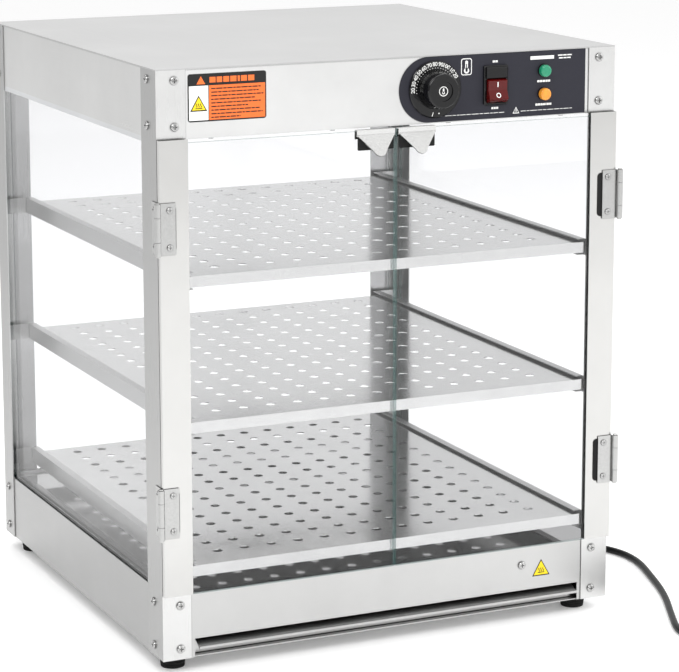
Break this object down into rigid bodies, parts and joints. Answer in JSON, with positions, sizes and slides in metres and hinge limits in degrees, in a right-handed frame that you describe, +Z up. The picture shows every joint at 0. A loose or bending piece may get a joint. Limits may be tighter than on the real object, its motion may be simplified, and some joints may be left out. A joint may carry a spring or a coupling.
{
  "type": "hot food display case",
  "caption": "Countertop hot food display case with glass sides, two hinged glass doors, three perforated shelves and a top control panel.",
  "frame": {"origin": "centre of the bounding box of the case without its cord, on the plane the feet stand on", "axes": "+Z up from the feet to the top cover, +Y from the doors towards the rear panel, +X to the right seen from the front"},
  "size_m": [0.6729, 0.7857, 0.6],
  "materials": {
    "steel": "brushed",
    "polished_steel": "polished",
    "hardware": "polished",
    "clear_glass": "clear",
    "channel_trim": "satin",
    "overlay_ink": "satin",
    "knob_black": "matte",
    "emblem_white": "satin",
    "rocker_red": "gloss",
    "lens_green": "gloss",
    "lens_amber": "gloss",
    "label_white": "satin",
    "label_yellow": "satin",
    "black_rubber": "matte",
    "heater_metal": "satin",
    "brass_blades": "polished"
  },
  "bodies": {
    "cabinet": {"amber_lamp_lens": "lens_amber", "base_front_panel": "steel", "base_left_panel": "steel", "base_pan": "steel", "base_rear_panel": "steel", "base_right_panel": "steel", "case_screws": "hardware", "ceiling_pan": "steel", "ceiling_screws": "hardware", "control_fascia": "steel", "control_overlay": "overlay_ink", "cord": "black_rubber", "cord_coil": "black_rubber", "deck_plate": "polished_steel", "feet": "black_rubber", "front_left_post": "steel", "front_right_post": "steel", "glass_channels": "channel_trim", "green_lamp_lens": "lens_green", "heater_brackets": "steel", "heating_element": "heater_metal", "hinge_pins": "hardware", "lamp_holders": "knob_black", "left_glass": "clear_glass", "lower_shelf": "polished_steel", "middle_shelf": "polished_steel", "plug_blades": "brass_blades", "plug_body": "knob_black", "post_hinge_leaves": "hardware", "post_hinge_screws": "hardware", "rear_glass": "clear_glass", "rear_left_post": "steel", "rear_right_post": "steel", "right_glass": "clear_glass", "sensing_bulb": "hardware", "shelf_rails": "steel", "strain_relief": "black_rubber", "switch_housing": "knob_black", "terminal_block": "knob_black", "thermostat_body": "knob_black", "top_cover": "steel", "top_left_panel": "steel", "top_rear_panel": "steel", "top_right_panel": "steel", "tray_guides": "steel", "upper_shelf": "polished_steel"},
    "left_door": {"left_door_glass": "clear_glass", "left_door_stile": "polished_steel", "left_door_handle": "hardware", "left_door_leaves": "hardware", "left_door_hinge_screws": "hardware"},
    "right_door": {"right_door_glass": "clear_glass", "right_door_stile": "polished_steel", "right_door_handle": "hardware", "right_door_leaves": "hardware", "right_door_hinge_screws": "hardware"},
    "thermostat_control": {"thermostat_knob": "knob_black", "knob_shaft": "hardware"},
    "rocker": {"power_rocker": "rocker_red"},
    "crumb_drawer": {"crumb_tray": "steel"}
  },
  "joints": [
    {"name": "left_door_swing", "type": "hinge", "parent": "cabinet", "child": "left_door", "pos_m": [-0.25325, -0.25025, 0.306], "axis": [0, 0, -1], "range_deg": [0, 180]},
    {"name": "right_door_swing", "type": "hinge", "parent": "cabinet", "child": "right_door", "pos_m": [0.25325, -0.25025, 0.306], "axis": [0, 0, 1], "range_deg": [0, 180]},
    {"name": "thermostat_turn", "type": "hinge", "parent": "cabinet", "child": "thermostat_control", "pos_m": [0.045, -0.2511, 0.566], "axis": [0, 1, 0], "range_deg": [0, 270]},
    {"name": "rocker_tilt", "type": "hinge", "parent": "cabinet", "child": "rocker", "pos_m": [0.1125, -0.241, 0.56125], "axis": [1, 0, 0], "range_deg": [0, 20]},
    {"name": "crumb_tray_slide", "type": "slide", "parent": "cabinet", "child": "crumb_drawer", "axis": [0, -1, 0], "range_m": [0, 0.5]}
  ]
}
